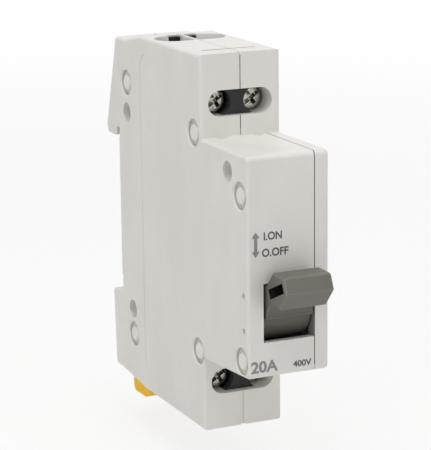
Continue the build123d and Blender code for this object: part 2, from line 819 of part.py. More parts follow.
# The sliding contact carrier, with a window for each bridge and a forked tongue for the lever
with BuildPart() as contact_carrier:
    with BuildSketch(side_plane(-carrier_width / 2)):
        with Locations(((carrier_front_y + carrier_back_y) / 2, 0)):
            Rectangle(carrier_back_y - carrier_front_y, carrier_height)
    extrude(amount=carrier_width)
    chamfer(contact_carrier.edges().filter_by(Axis.Z).group_by(Axis.Y)[-1], fit_clearance * 5)
    with BuildSketch(Plane.XY.offset(-carrier_height / 2)):
        with Locations(
            (-pole_x, (spring_front_y + carrier_rest_y) / 2),
            (pole_x, (spring_front_y + carrier_rest_y) / 2),
        ):
            Rectangle(bridge_width + 2 * bridge_window_gap, carrier_rest_y - spring_front_y)
        pocket_front_y = carrier_front_y + carrier_back_wall
        pocket_back_y = spring_front_y - carrier_back_wall
        with Locations(
            (-pole_x, (pocket_front_y + pocket_back_y) / 2),
            (pole_x, (pocket_front_y + pocket_back_y) / 2),
        ):
            Rectangle(bridge_width, pocket_back_y - pocket_front_y)
    extrude(amount=carrier_height, mode=Mode.SUBTRACT)
    with BuildSketch(front_plane(spring_front_y)):
        with Locations((-pole_x, 0), (pole_x, 0)):
            Circle(spring_radius - spring_wire)
    extrude(amount=-spring_peg_length)
    tongue_front_y = crank_y - crank_pin_radius - tongue_slot_clearance - tongue_prong
    tongue_slot_top_z = crank_top_z + tongue_slot_clearance
    tongue_low_z = crank_low_z - tongue_slot_clearance
    with BuildSketch(side_plane(-tongue_width / 2)):
        with Locations((tongue_front_y, tongue_low_z)):
            Rectangle(
                carrier_front_y - tongue_front_y,
                tongue_slot_top_z + tongue_rise - tongue_low_z,
                align=(Align.MIN, Align.MIN),
            )
        with Locations((crank_y, tongue_low_z)):
            Rectangle(
                2 * (crank_pin_radius + tongue_slot_clearance),
                tongue_slot_top_z - tongue_low_z,
                align=(Align.CENTER, Align.MIN),
                mode=Mode.SUBTRACT,
            )
        with Locations(
            (crank_y + crank_pin_radius + tongue_slot_clearance + 2 * tongue_prong, tongue_low_z)
        ):
            Rectangle(
                2 * throw,
                tongue_slot_top_z - tongue_low_z - tongue_prong,
                align=(Align.MIN, Align.MIN),
                mode=Mode.SUBTRACT,
            )
    extrude(amount=tongue_width)
contact_carrier.part.label = "contact_carrier"
export_step(contact_carrier.part, "parts/contact_carrier.step")


# The lever: drum and skirt in the window, a waisted grip with a slot through it for a tie
skirt_end = (skirt_radius * cos(radians(skirt_angle)), skirt_radius * sin(radians(skirt_angle)))
flare_middle = (
    (skirt_end[0] + waist_out) / 2 - flare_hollow,
    (skirt_end[1] + waist_half) / 2 - flare_hollow,
)
with BuildPart() as lever:
    with BuildSketch(lever_plane(lever_left)) as head:
        Polygon(
            (waist_out, waist_half),
            (waist_out, -waist_half),
            (widest_out, -widest_half),
            (tip_out, -tip_half),
            (tip_out, tip_half),
            (widest_out, widest_half),
            align=None,
        )
        fillet(head.vertices().sort_by(Axis.X)[-4:], lever_round)
    extrude(amount=lever_right - lever_left)
    chamfer(lever.faces().filter_by(Plane.YZ).edges(), lever_chamfer)
    with BuildSketch(lever_plane(lever_left)):
        with BuildLine():
            Line((0, 0), skirt_end)
            ThreePointArc(skirt_end, flare_middle, (waist_out, waist_half))
            Line((waist_out, waist_half), (waist_out + lever_round, waist_half))
            Line((waist_out + lever_round, waist_half), (waist_out + lever_round, 0))
            mirror(about=Plane.XZ)
        make_face()
    extrude(amount=lever_right - lever_left)
    # The grip is a little longer than what turns in the window
    with BuildSketch(lever_plane(drum_right)):
        Circle(skirt_radius + fit_clearance)
    extrude(amount=lever_right - drum_right, mode=Mode.SUBTRACT)
    with BuildSketch(lever_plane(lever_left)):
        Circle(drum_radius)
    extrude(amount=drum_right - lever_left)
    # The slot through the grip
    with BuildSketch(lever_plane(lever_left)):
        with Locations(((tie_slot_from + tie_slot_to) / 2, 0)):
            Rectangle(tie_slot_to - tie_slot_from, tie_slot_height)
    extrude(amount=lever_right - lever_left, mode=Mode.SUBTRACT)
    # The gap in the drum that the carrier's tongue reaches into, with the crank pin across it
    with BuildSketch(lever_plane(-crank_gap / 2)):
        with Locations((crank_gap_front, 0)):
            Rectangle(2 * skirt_radius, skirt_radius, align=(Align.MAX, Align.MAX))
        Circle(hub_radius, mode=Mode.SUBTRACT)
        with Locations((0, -crank_radius)):
            Circle(crank_pin_radius, mode=Mode.SUBTRACT)
    extrude(amount=crank_gap, mode=Mode.SUBTRACT)
    # Trunnions
    with BuildSketch(lever_plane(-trunnion_length / 2)):
        Circle(trunnion_radius)
    extrude(amount=trunnion_length)
    # Hole for the end of the lever spring
    with BuildSketch(lever_plane(drum_right)):
        with Locations((lever_spring_radius, 0)):
            Circle(lever_spring_wire / 2 + fit_clearance)
    extrude(amount=-lever_spring_hook - fit_clearance, mode=Mode.SUBTRACT)
lever.part.label = "lever"
export_step(lever.part, "parts/lever.step")


# The lever spring, coiled round the right-hand trunnion boss, with its ends in the drum and the shell
with BuildPart() as lever_spring:
    coil_from = drum_right + 3 * fit_clearance + lever_spring_wire / 2
    coil_to = inner_x - fit_clearance - lever_spring_wire / 2
    with BuildLine() as coil_line:
        turns = Helix(
            pitch=(coil_to - coil_from) / lever_spring_turns,
            height=coil_to - coil_from,
            radius=lever_spring_radius,
            mode=Mode.PRIVATE,
        )
        add(turns.moved(lever_plane(coil_from).location))
    coil = coil_line.line
    with BuildSketch(Plane(origin=coil @ 0, z_dir=coil % 0)):
        RegularPolygon(lever_spring_wire / 2, 6)
    sweep(is_frenet=True)
    with BuildSketch(lever_plane(drum_right - lever_spring_hook)):
        with Locations((lever_spring_radius, 0)):
            RegularPolygon(lever_spring_wire / 2, 6)
    extrude(amount=coil_from - drum_right + lever_spring_hook)
    with BuildSketch(lever_plane(coil_to)):
        with Locations((lever_spring_radius, 0)):
            RegularPolygon(lever_spring_wire / 2, 6)
    extrude(amount=inner_x + lever_spring_anchor - coil_to)
lever_spring.part.label = "lever_spring"
export_step(lever_spring.part, "parts/lever_spring.step")


# The yellow rail clip: a plate in the housing's channel, with a window over its stop and a pull tab
with BuildPart() as rail_clip:
    plate_front_y = lip_front_y
    plate_back_y = lip_front_y + clip_thickness
    tab_top_z = -clip_tab_bottom + clip_tab_height
    with BuildSketch(side_plane(-clip_width / 2)) as clip_section:
        with BuildLine():
            Polyline(
                (plate_front_y, clip_top_z - clip_chamfer),
                (plate_front_y + clip_chamfer, clip_top_z),
                (plate_back_y, clip_top_z),
                (plate_back_y, tab_top_z + clip_chamfer),
                (foot_depth, tab_top_z - clip_chamfer),
                (foot_depth, -clip_tab_bottom),
                (-clip_tab_front / 3, -clip_tab_bottom + clip_chamfer / 3),
                (-clip_tab_front, tab_top_z - clip_tab_height / 2),
                (-clip_tab_front, tab_top_z),
                (plate_front_y, tab_top_z),
                close=True,
            )
        make_face()
        corner = clip_section.vertices().group_by(Axis.Y)[0]
        fillet(corner, clip_tab_height / 3)
    extrude(amount=clip_width)
    stop_low_z = clip_stop_z - clip_stop_height / 2
    stop_high_z = clip_stop_z + clip_stop_height / 2
    with BuildSketch(front_plane(plate_front_y)):
        with Locations((0, stop_low_z - rail_clearance)):
            Rectangle(
                clip_stop_width + 2 * rail_clearance,
                stop_high_z + clip_travel + 2 * rail_clearance - stop_low_z,
                align=(Align.CENTER, Align.MIN),
            )
    extrude(amount=-clip_thickness, mode=Mode.SUBTRACT)
    with BuildSketch(Plane.XY.offset(tab_top_z)):
        with Locations((0, -clip_tab_front + clip_pry_slot * 1.5)):
            Rectangle(clip_width / 2, clip_pry_slot)
    extrude(amount=-clip_tab_height, mode=Mode.SUBTRACT)
rail_clip.part.label = "rail_clip"
export_step(rail_clip.part, "parts/rail_clip.step")
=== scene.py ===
"""Finishes, print, screws and studio for the two-pole rail switch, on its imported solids."""

import json
import math

import bmesh
import bpy
from mathutils import Matrix, Vector


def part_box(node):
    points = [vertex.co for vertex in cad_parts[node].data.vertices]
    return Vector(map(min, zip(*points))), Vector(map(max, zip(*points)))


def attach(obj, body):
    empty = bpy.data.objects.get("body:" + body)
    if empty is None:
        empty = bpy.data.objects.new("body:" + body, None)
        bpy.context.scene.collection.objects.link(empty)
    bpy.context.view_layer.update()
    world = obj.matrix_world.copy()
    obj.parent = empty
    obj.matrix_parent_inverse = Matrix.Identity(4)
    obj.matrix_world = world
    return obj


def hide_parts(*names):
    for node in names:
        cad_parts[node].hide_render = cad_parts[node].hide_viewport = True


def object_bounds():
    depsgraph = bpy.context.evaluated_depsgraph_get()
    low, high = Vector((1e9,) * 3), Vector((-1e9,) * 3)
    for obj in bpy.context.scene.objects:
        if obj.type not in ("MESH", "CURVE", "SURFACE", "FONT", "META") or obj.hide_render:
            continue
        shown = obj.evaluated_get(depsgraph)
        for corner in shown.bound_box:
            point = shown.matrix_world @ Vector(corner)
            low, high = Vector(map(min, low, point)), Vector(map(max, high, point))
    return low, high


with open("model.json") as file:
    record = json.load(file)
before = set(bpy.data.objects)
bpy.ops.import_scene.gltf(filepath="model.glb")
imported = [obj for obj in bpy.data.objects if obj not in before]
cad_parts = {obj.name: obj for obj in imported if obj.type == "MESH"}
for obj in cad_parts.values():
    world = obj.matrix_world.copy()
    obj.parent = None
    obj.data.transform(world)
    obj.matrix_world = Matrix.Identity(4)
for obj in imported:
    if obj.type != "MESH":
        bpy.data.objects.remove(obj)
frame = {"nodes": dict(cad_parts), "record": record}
cad_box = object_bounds()

MM = 0.001


# Colours as a painter would name them, in sRGB, turned to the linear values that shaders take
def srgb(red, green, blue):
    def linear(level):
        level /= 255
        return level / 12.92 if level <= 0.04045 else ((level + 0.055) / 1.055) ** 2.4

    return (linear(red), linear(green), linear(blue), 1.0)


def shade(colour, factor):
    return tuple(min(1.0, channel * factor) for channel in colour[:3]) + (1.0,)


SHELL_GREY = srgb(224, 221, 216)
PIN_WHITE = srgb(228, 226, 221)
LEVER_TAUPE = srgb(98, 94, 86)
CARRIER_BLACK = srgb(28, 28, 30)
CLIP_YELLOW = srgb(250, 196, 0)
ZINC = srgb(180, 179, 172)
CAGE_ZINC = srgb(186, 184, 176)
COPPER = srgb(205, 128, 92)
SILVER = srgb(222, 220, 214)
SPRING_STEEL = srgb(150, 148, 145)
ZINC_TARNISH = srgb(84, 80, 62)
CAGE_TARNISH = srgb(118, 112, 98)
COPPER_TARNISH = srgb(120, 74, 52)
SILVER_TARNISH = srgb(130, 126, 118)
STEEL_TARNISH = srgb(92, 86, 78)
INK_DARK = srgb(84, 84, 86)
INK_LIGHT = srgb(126, 127, 128)
PAPER = srgb(236, 236, 234)
PAPER_FIBRE = srgb(241, 241, 239)
PLAIN_WHITE = (1.0, 1.0, 1.0, 1.0)

PLASTIC_IOR = 1.49


# Node trees, written as expressions
class Wire:
    """One output of a node; arithmetic on it adds Math nodes."""

    def __init__(self, board, socket):
        self.board = board
        self.socket = socket

    def maths(self, operation, *others):
        inputs = dict(enumerate((self,) + others))
        return self.board.add("ShaderNodeMath", {"operation": operation}, inputs)

    def __add__(self, other):
        return self.maths("ADD", other)

    def __sub__(self, other):
        return self.maths("SUBTRACT", other)

    def __rsub__(self, other):
        return self.board.add("ShaderNodeMath", {"operation": "SUBTRACT"}, {0: other, 1: self})

    def __mul__(self, other):
        return self.maths("MULTIPLY", other)

    __radd__ = __add__
    __rmul__ = __mul__

    def absolute(self):
        return self.maths("ABSOLUTE")

    def under(self, limit_mm):
        """1 where a length in metres is less than a limit in millimetres, and 0 elsewhere."""
        return self.maths("LESS_THAN", limit_mm * MM)

    def over(self, limit_mm):
        """1 where a length in metres is more than a limit in millimetres, and 0 elsewhere."""
        return self.maths("GREATER_THAN", limit_mm * MM)

    def ramp(self, low, high, start=0.0, end=1.0):
        """A smooth step from start to end as the value goes from low to high."""
        settings = {"interpolation_type": "SMOOTHSTEP"}
        return self.board.add("ShaderNodeMapRange", settings, {0: self, 1: low, 2: high, 3: start, 4: end})


class Board:
    """A node tree, to which every node is added in one way."""

    def __init__(self, tree):
        self.tree = tree
        self.tree.nodes.clear()

    def add(self, kind, settings=None, sockets=None, out=0):
        """Adds a node. A socket is given a value, a wire, or a list of wires where it takes several."""
        node = self.tree.nodes.new(kind)
        for name, value in (settings or {}).items():
            setattr(node, name, value)
        for key, value in (sockets or {}).items():
            wires = value if isinstance(value, list) else [value]
            if isinstance(wires[0], Wire):
                for wire in wires:
                    self.tree.links.new(wire.socket, node.inputs[key])
            else:
                node.inputs[key].default_value = value
        return Wire(self, node.outputs[out]) if node.outputs else None


class Finish(Board):
    """The node tree of a material, or of the world."""

    def __init__(self, name, kind=bpy.data.materials):
        self.owner = kind.new(name)
        self.owner.use_nodes = True
        super().__init__(self.owner.node_tree)

    def place(self):
        return self.add("ShaderNodeTexCoord", out="Object")

    def stretched(self, scale):
        """Object coordinates, stretched so that a grain runs longer one way."""
        return self.add("ShaderNodeMapping", None, {"Vector": self.place(), "Scale": scale})

    def along_axes(self, vector):
        """The three numbers of a vector, one wire each."""
        split = {"Vector": vector}
        return [self.add("ShaderNodeSeparateXYZ", None, split, out=axis) for axis in "XYZ"]

    def noise(self, size_mm, detail=2.0, roughness=0.5, where=None):
        sockets = {"Vector": where or self.place(), "Scale": 1 / (size_mm * MM), "Detail": detail,
                   "Roughness": roughness}
        return self.add("ShaderNodeTexNoise", None, sockets)

    def blend(self, amount, first, second):
        """A Mix node's colours are its inputs 6 and 7, and its output 2."""
        return self.add("ShaderNodeMix", {"data_type": "RGBA"}, {0: amount, 6: first, 7: second}, out=2)

    def bump(self, height, depth_mm, strength=1.0, beneath=None):
        sockets = {"Height": height, "Distance": depth_mm * MM, "Strength": strength}
        if beneath:
            sockets["Normal"] = beneath
        return self.add("ShaderNodeBump", None, sockets)

    def surface(self, **sockets):
        """Ends in a Principled surface, whose sockets are given by name with _ for a space."""
        named = {key.replace("_", " "): value for key, value in sockets.items()}
        principled = self.add("ShaderNodeBsdfPrincipled", None, named)
        self.add("ShaderNodeOutputMaterial", None, {"Surface": principled})
        return self.owner


# Where painted shade darkens the shells, in millimetres: in the recesses round the pin heads, and in a thin
# band along the seam grooves
PIN_PLACES = [(-4.4, 28.5), (-40.2, 23.2), (-62.0, 14.2), (-62.3, -19.5), (-41.3, -22.9), (-6.0, -28.4)]
PIN_RECESS_RADIUS = 2.8
PIN_RECESS_SHADE_SHARE = 0.34
SHOULDER_Y = -44.0
NOSE_SEAM_X = 5.8
SEAM_HALF_WIDTH = 0.102
SEAM_MIDDLE_Z = 9.0
SEAM_SHADE_REACH = 30.2

# The lever, in millimetres: its pivot, and from there out along the grip and off the grip's middle plane.
# The two shades are how dark the painted shade on the drum below the lip is, and how pale the painted
# highlights on the edges are
PIVOT = (0.0, -57.7, -9.25)
LEVER_TILT = math.radians(24.2)
SLOT_MIDDLE = 13.55
SLOT_HALF_LENGTH = 3.27
SLOT_HALF_HEIGHT = 1.02
DRUM_REACH = 7.4
DRUM_SHADE_FROM = 3.9
DRUM_SHADE_FADE = (4.8, 6.6)
DRUM_SHADE = 0.33
LIP_OUT = 6.5
LIP_OFF = 4.05
TIP_OUT = 17.8
TIP_OFF = 1.75
TIP_HIGHLIGHT_BAND = 0.35
LEVER_MIDDLE_X = 0.25
LEVER_HALF_WIDTH = 5.25
END_HIGHLIGHT_BAND = (0.03, 0.36)
HIGHLIGHT_LIFT = 1.32


def shell_painted_shade(board):
    """How much painted shade darkens the pin recesses, whose axes all run along X, and the two seam grooves.
    """
    place = board.add("ShaderNodeVectorMath", {"operation": "MULTIPLY"}, {0: board.place(), 1: (0, 1, 1)})
    nearest = None
    # Painted shade round the pin heads, standing in for the shade inside their recesses
    for y, z in PIN_PLACES:
        ends = {0: place, 1: (0, y * MM, z * MM)}
        away = board.add("ShaderNodeVectorMath", {"operation": "DISTANCE"}, ends, out="Value")
        nearest = nearest.maths("MINIMUM", away) if nearest else away
    x, y, z = board.along_axes(board.place())
    # Painted shade along the seams, standing in for the shadow inside the seam grooves
    seam_x = y.under(SHOULDER_Y) * (NOSE_SEAM_X * MM)
    seam = (x - seam_x).absolute().under(SEAM_HALF_WIDTH)
    seam = seam * (z - SEAM_MIDDLE_Z * MM).absolute().under(SEAM_SHADE_REACH)
    return (nearest.under(PIN_RECESS_RADIUS) * PIN_RECESS_SHADE_SHARE).maths("MAXIMUM", seam)


def on_lever(board):
    """Where a point of the lever lies: across it, out along its grip, and off the grip's middle plane."""
    sockets = {"Vector": board.place(), "Location": Vector(PIVOT) * MM, "Rotation": (-LEVER_TILT, 0, 0)}
    turned_back = board.add("ShaderNodeMapping", {"vector_type": "TEXTURE"}, sockets)
    across, inward, off = board.along_axes(turned_back)
    return across, 0 - inward, off.absolute()


def lever_painted_shade(board):
    """Painted shade: 1 on the walls of the slot through the grip, and a little on the drum below the skirt's
    lip.
    """
    _, out, off = on_lever(board)
    # Painted shade in the slot, standing in for the shadow inside it
    slot = (out - SLOT_MIDDLE * MM).absolute().under(SLOT_HALF_LENGTH) * off.under(SLOT_HALF_HEIGHT)
    # Painted shade on the drum under the skirt's lip, fading away from the lip
    drum = out.under(DRUM_REACH) * off.over(DRUM_SHADE_FROM)
    fade_from, fade_to = DRUM_SHADE_FADE
    return slot.maths("MAXIMUM", drum * off.ramp(fade_from * MM, fade_to * MM, DRUM_SHADE, 0.0))


def lever_painted_highlight(board):
    """Where painted highlights make the lever pale: the lips of its skirt, the edges of its tip and of its
    ends.
    """
    across, out, off = on_lever(board)
    # Painted highlight bands along the lip, the tip's edges and the end faces' edges
    lip = out.over(LIP_OUT) * off.over(LIP_OFF)
    tip = out.over(TIP_OUT - TIP_HIGHLIGHT_BAND) * off.over(TIP_OFF - TIP_HIGHLIGHT_BAND)
    end = (across - LEVER_MIDDLE_X * MM).absolute()
    outer, inner = (LEVER_HALF_WIDTH - inset for inset in END_HIGHLIGHT_BAND)
    ends = end.over(inner) * end.under(outer)
    return lip.maths("MAXIMUM", tip).maths("MAXIMUM", ends * out.over(DRUM_REACH))


# Moulded plastic: a spark-eroded grain, slow changes of tone from the melt, and rubbed spots
FLOW_STRETCH = (1.0, 1.0, 0.45)
PATCH_COVER = 0.5
SPECK_COVER = 0.35
SPECK_SHADE = 0.8
RUB_GLOSS = 0.07


def moulded(name, colour, roughness, grain_mm=0.32, grain_depth=0.006, tone=0.05, gloss=0.5,
            painted_shade=None, painted_shade_level=1.0, painted_highlight=None):
    board = Finish(name)
    flow = board.noise(14.0, detail=3.0, roughness=0.55, where=board.stretched(FLOW_STRETCH))
    patch = board.noise(2.6, detail=4.0, roughness=0.6)
    grain = board.noise(grain_mm, detail=3.0, roughness=0.65)
    rub = board.noise(5.5, detail=5.0, roughness=0.7).ramp(0.55, 0.72)
    cloudy = board.blend(flow.ramp(0.3, 0.7), shade(colour, 1 - tone), shade(colour, 1 + 0.3 * tone))
    body = board.blend(patch.ramp(0.42, 0.8) * PATCH_COVER, cloudy, shade(colour, 1 - 0.8 * tone))
    speck = board.noise(0.9, detail=1.0).ramp(0.74, 0.8) * SPECK_COVER
    full = board.blend(speck, body, shade(colour, SPECK_SHADE))
    # Painted highlight: the colour made paler where a mask marks edges that catch the light
    if painted_highlight:
        full = board.blend(painted_highlight(board), full, shade(colour, HIGHLIGHT_LIFT))
    # Painted shade: the colour darkened where a mask marks recesses, seams and slots that shade falls in
    if painted_shade:
        full = board.blend(painted_shade(board), full, shade(colour, painted_shade_level))
    rough = roughness + grain.ramp(0.3, 0.7, -0.05, 0.05)
    rough = rough - rub * RUB_GLOSS + patch.ramp(0.3, 0.7, -0.02, 0.02)
    waves = board.bump(flow, depth_mm=0.05, strength=0.25)
    fine = board.bump(grain, depth_mm=grain_depth, strength=0.8, beneath=waves)
    return board.surface(Base_Color=full, Roughness=rough, Normal=fine, Specular_IOR_Level=gloss,
                         IOR=PLASTIC_IOR)


# Plated or bare metal: drawn scratches, cloudy plating and a little tarnish
CLOUD_SHADE = 0.86
SPOT_DULLING = 0.15
SCRATCH_DULLING = 0.06


def plated(name, colour, tarnish, roughness, along=(1.0, 0.12, 1.0), scratch_mm=0.18, stain=0.55):
    board = Finish(name)
    cloud = board.noise(1.7, detail=4.0, roughness=0.6)
    scratch = board.noise(scratch_mm, detail=4.0, roughness=0.75, where=board.stretched(along))
    spots = board.noise(0.8, detail=3.0, roughness=0.6).ramp(0.55, 0.75)
    clean = board.blend(cloud.ramp(0.3, 0.7), shade(colour, CLOUD_SHADE), colour)
    worn = board.blend(spots * stain, clean, tarnish)
    rough = roughness + cloud.ramp(0.3, 0.7, -0.06, 0.08)
    rough = rough + spots * SPOT_DULLING + scratch.ramp(0.4, 0.7) * SCRATCH_DULLING
    bump = board.bump(scratch, depth_mm=0.01, strength=0.5)
    return board.surface(Base_Color=worn, Metallic=1.0, Roughness=rough, Normal=bump)


# Pad print: a thin matt ink with pinholes and slightly uneven cover
INK_ROUGHNESS = 0.55
INK_THIN_SHADE = 1.25
PINHOLE_COVER = 0.5
PINHOLE_SHADE = 0.8


def printed(name, colour):
    board = Finish(name)
    cover = board.noise(0.5, detail=3.0, roughness=0.6)
    pinhole = board.noise(0.14, detail=1.0).ramp(0.68, 0.74) * PINHOLE_COVER
    even = board.blend(cover.ramp(0.35, 0.7), colour, shade(colour, INK_THIN_SHADE))
    full = board.blend(pinhole, even, shade(SHELL_GREY, PINHOLE_SHADE))
    rough = INK_ROUGHNESS + cover.ramp(0.3, 0.7, -0.06, 0.06)
    bump = board.bump(cover, depth_mm=0.004, strength=0.6)
    return board.surface(Base_Color=full, Roughness=rough, Normal=bump)


EVERY_WAY = (1.0, 1.0, 1.0)
UPRIGHT = (1.0, 1.0, 0.12)

finishes = {
    # The shell and the lever get painted shade, and the lever also gets painted highlights on its edges
    "housing": moulded("shell_grey_plastic", SHELL_GREY, 0.42, painted_shade=shell_painted_shade, painted_shade_level=0.35),
    "carrier": moulded("carrier_black_plastic", CARRIER_BLACK, 0.45, tone=0.16, gloss=0.35),
    "lever": moulded("lever_taupe_plastic", LEVER_TAUPE, 0.4, grain_mm=0.26, grain_depth=0.008,
                     tone=0.09, painted_shade=lever_painted_shade, painted_shade_level=0.2, painted_highlight=lever_painted_highlight),
    "clip": moulded("clip_yellow_plastic", CLIP_YELLOW, 0.4, tone=0.08, gloss=0.15),
    "screw": plated("screw_zinc", ZINC, ZINC_TARNISH, 0.18, along=EVERY_WAY, stain=0.9),
    "cage": plated("cage_zinc", CAGE_ZINC, CAGE_TARNISH, 0.38),
    "copper": plated("bar_copper", COPPER, COPPER_TARNISH, 0.34, along=UPRIGHT),
    "silver": plated("tip_silver", SILVER, SILVER_TARNISH, 0.3, along=EVERY_WAY),
    "spring_steel": plated("spring_steel_wire", SPRING_STEEL, STEEL_TARNISH, 0.32),
}
pin_finish = moulded("pin_natural_plastic", PIN_WHITE, 0.36, tone=0.07)
ink_dark = printed("ink_dark_grey", INK_DARK)
ink_light = printed("ink_mid_grey", INK_LIGHT)

for part in frame["record"]["subparts"]:
    solid = frame["nodes"][part["node"]]
    finish = pin_finish if part["node"] == "staking_pins" else finishes[part["material_slot"]]
    solid.data.materials.clear()
    solid.data.materials.append(finish)


# New pieces
def closed_up(mesh, reach):
    """Merges corners nearer than reach, drops faces of no area, splits large ones and faces them outwards."""
    work = bmesh.new()
    work.from_mesh(mesh)
    bmesh.ops.remove_doubles(work, verts=work.verts, dist=reach)
    bmesh.ops.dissolve_degenerate(work, edges=work.edges, dist=reach)
    bmesh.ops.triangulate(work, faces=[face for face in work.faces if len(face.verts) > 4])
    bmesh.ops.recalc_face_normals(work, faces=work.faces)
    work.to_mesh(mesh)
    work.free()
    return mesh


def as_mesh(name, work):
    mesh = bpy.data.meshes.new(name)
    work.to_mesh(mesh)
    work.free()
    return mesh


def as_object(name, data):
    made = bpy.data.objects.new(name, data)
    bpy.context.scene.collection.objects.link(made)
    return made


def plain_mesh(holder):
    """The mesh that an object's text or modifiers come to."""
    ready = holder.evaluated_get(bpy.context.evaluated_depsgraph_get())
    return bpy.data.meshes.new_from_object(ready)


def add_piece(name, mesh, finish, body):
    mesh.materials.clear()
    mesh.materials.append(finish)
    piece = as_object(name, mesh)
    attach(piece, body)
    return piece


# Print on the nose's face: flat forms half sunk in it, and so only just proud of it
NOSE_FACE = -65.5 * MM
INK_PROUD = 0.02 * MM
INK_HALF_DEPTH = 0.02
LETTER_WEIGHT = 0.03
LETTER_STEPS = 6
LETTER_MERGE = 1e-4


def onto_nose(mesh, low, high):
    """Stands a flat mesh up on the nose's face and fits it between two corners, x and z in mm."""
    points = [vertex.co for vertex in mesh.vertices]
    left, right = min(p.x for p in points), max(p.x for p in points)
    bottom, top = min(p.y for p in points), max(p.y for p in points)
    back, front = min(p.z for p in points), max(p.z for p in points)
    wide = (high[0] - low[0]) / (right - left) * MM
    tall = (high[1] - low[1]) / (top - bottom) * MM
    for vertex in mesh.vertices:
        x = low[0] * MM + (vertex.co.x - left) * wide
        z = low[1] * MM + (vertex.co.y - bottom) * tall
        lift = (vertex.co.z - back) / (front - back)
        vertex.co = (x, NOSE_FACE + INK_PROUD * (1 - 2 * lift), z)
    mesh.update()
    return mesh


def print_words(name, words, low, high, finish):
    letters = bpy.data.curves.new(name, "FONT")
    letters.body = words
    letters.extrude = INK_HALF_DEPTH
    letters.resolution_u = LETTER_STEPS
    letters.offset = LETTER_WEIGHT
    holder = as_object(name + "_curve", letters)
    mesh = closed_up(plain_mesh(holder), LETTER_MERGE)
    mesh.name = name
    bpy.data.objects.remove(holder)
    bpy.data.curves.remove(letters)
    return add_piece(name, onto_nose(mesh, low, high), finish, "housing")


def print_shape(name, outline, low, high, finish):
    shape = bmesh.new()
    face = shape.faces.new([shape.verts.new((x, y, -INK_HALF_DEPTH)) for x, y in outline])
    raised = bmesh.ops.extrude_face_region(shape, geom=[face])
    moved = [item for item in raised["geom"] if isinstance(item, bmesh.types.BMVert)]
    bmesh.ops.translate(shape, verts=moved, vec=(0, 0, 2 * INK_HALF_DEPTH))
    bmesh.ops.recalc_face_normals(shape, faces=shape.faces)
    return add_piece(name, onto_nose(as_mesh(name, shape), low, high), finish, "housing")


# One half of the double arrow's outline; the other is the same, turned half round
ARROW_TIP = 3.2
ARROW_BARB = 1.7
ARROW_HEAD_HALF = 1.0
ARROW_STEM_HALF = 0.4

arrow = [
    (0, ARROW_TIP),
    (-ARROW_HEAD_HALF, ARROW_BARB),
    (-ARROW_STEM_HALF, ARROW_BARB),
    (-ARROW_STEM_HALF, -ARROW_BARB),
    (-ARROW_HEAD_HALF, -ARROW_BARB),
]
arrow = arrow + [(-x, -y) for x, y in arrow]

print_words("print_on", "I.ON", (-5.4, 5.6), (-1.4, 7.25), ink_dark)
print_words("print_off", "O.OFF", (-5.8, 2.25), (0.0, 3.95), ink_dark)
print_words("print_current", "20A", (-8.35, -21.35), (-2.4, -18.9), ink_light)
print_words("print_voltage", "400V", (0.95, -21.15), (5.1, -19.85), ink_dark)
print_shape("print_arrow", arrow, (-8.05, 2.3), (-6.25, 7.4), ink_light)


# Terminal screws: a turned head with a cross and slot recess, and a rolled thread on the shank
SCREW_TURN = math.radians(35.0)
HEAD_RADIUS = 2.35 * MM
HEAD_HEIGHT = 2.0 * MM
HEAD_FLAT_SHARE = 0.72
HEAD_RIM = 0.22 * MM
HEAD_DISH = 0.04 * MM
HEAD_FOOT = 0.15 * MM
SHANK_RADIUS = 1.7 * MM
POINT_LENGTH = 0.6 * MM
POINT_TAPER = 0.5 * MM
PITCH = 0.7 * MM
THREAD_DEPTH = 0.28 * MM
THREAD_END_GAPS = 1.2 * MM
THREAD_STEPS = 20
RIDGE_SIDES = 4
HEAD_STEPS = 48
SCREW_MERGE = 1e-7

# The recess in a head: the turn, length, width at the top and at the floor, and depth of each slot
RECESS_SLOTS = (
    (0.0, 5.2 * MM, 0.8 * MM, 0.7 * MM, 0.75 * MM),
    (0.0, 3.3 * MM, 0.95 * MM, 0.45 * MM, 1.5 * MM),
    (math.pi / 2, 3.3 * MM, 0.95 * MM, 0.45 * MM, 1.5 * MM),
)
RECESS_START = 0.2 * MM
RECESS_FLOOR_SHARE = 0.62

THREAD_INPUTS = {
    "Screw": "Geometry",
    "Shank Radius": "Float",
    "Pitch": "Float",
    "Thread Depth": "Float",
    "Turns": "Float",
    "Start": "Float",
    "Finish": "Material",
}


def turned(profile):
    """A closed solid turned about Z from (radius, height) pairs that start and end on the axis."""
    work = bmesh.new()
    line = [work.verts.new((radius, 0, height)) for radius, height in profile]
    edges = [work.edges.new(pair) for pair in zip(line, line[1:])]
    bmesh.ops.spin(work, geom=line + edges, cent=(0, 0, 0), axis=(0, 0, 1), angle=math.tau,
                   steps=HEAD_STEPS)
    bmesh.ops.remove_doubles(work, verts=work.verts, dist=SCREW_MERGE)
    bmesh.ops.recalc_face_normals(work, faces=work.faces)
    return work


def recess_cutter():
    """The slots that are pressed into a screw's head, each as one closed form that narrows downwards."""
    work = bmesh.new()
    for turn, length, top_width, floor_width, depth in RECESS_SLOTS:
        spin = Matrix.Rotation(turn, 3, "Z")
        rings = []
        for level, width, reach in (
            (RECESS_START, top_width, length),
            (-depth, floor_width, length * RECESS_FLOOR_SHARE),
        ):
            x, y = reach / 2, width / 2
            corners = [(-x, -y), (x, -y), (x, y), (-x, y)]
            rings.append([work.verts.new(spin @ Vector((*corner, level))) for corner in corners])
        work.faces.new(rings[0])
        work.faces.new(rings[1][::-1])
        for side in range(4):
            after = (side + 1) % 4
            work.faces.new((rings[0][after], rings[0][side], rings[1][side], rings[1][after]))
    bmesh.ops.recalc_face_normals(work, faces=work.faces)
    return work


